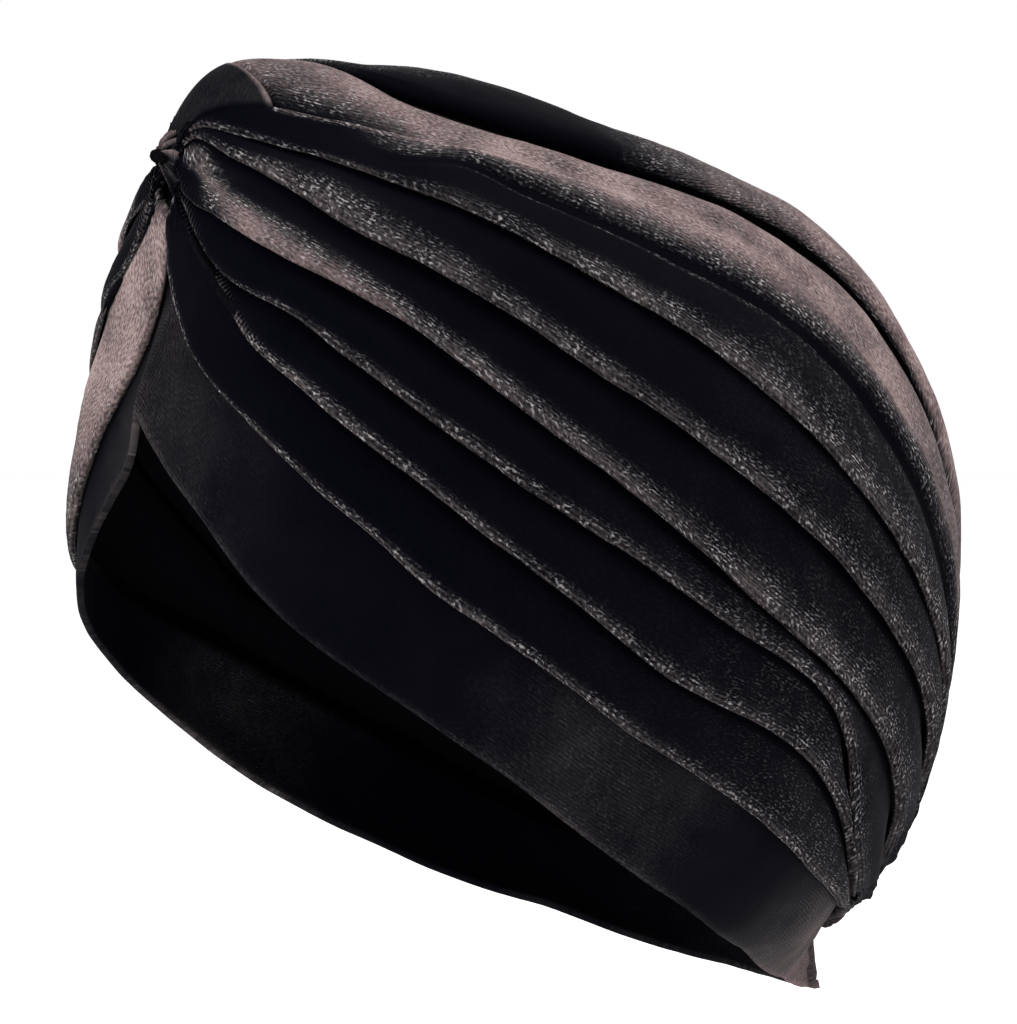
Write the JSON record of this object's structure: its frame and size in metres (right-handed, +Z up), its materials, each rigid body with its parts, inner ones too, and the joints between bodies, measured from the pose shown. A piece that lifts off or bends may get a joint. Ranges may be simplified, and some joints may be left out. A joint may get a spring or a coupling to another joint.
{
  "type": "turban headwrap",
  "caption": "Pleated velvet turban cap in its worn shape, folds running from a knot at the front to the nape, over a smooth head band.",
  "frame": {"origin": "inside of the top fold on the centre line, where the cap sits on the crown of a head", "axes": "+Z up as worn, -Y the way the wearer faces, +X to the wearer's left"},
  "size_m": [0.1674, 0.2034, 0.2077],
  "materials": {
    "velvet": "black stretch velvet with a soft brown-grey sheen"
  },
  "bodies": {
    "root": {"head_band": "velvet", "crown_left": "velvet", "crown_right": "velvet", "top_fold": "velvet", "front_wrap": "velvet", "knot": "velvet"}
  },
  "joints": []
}
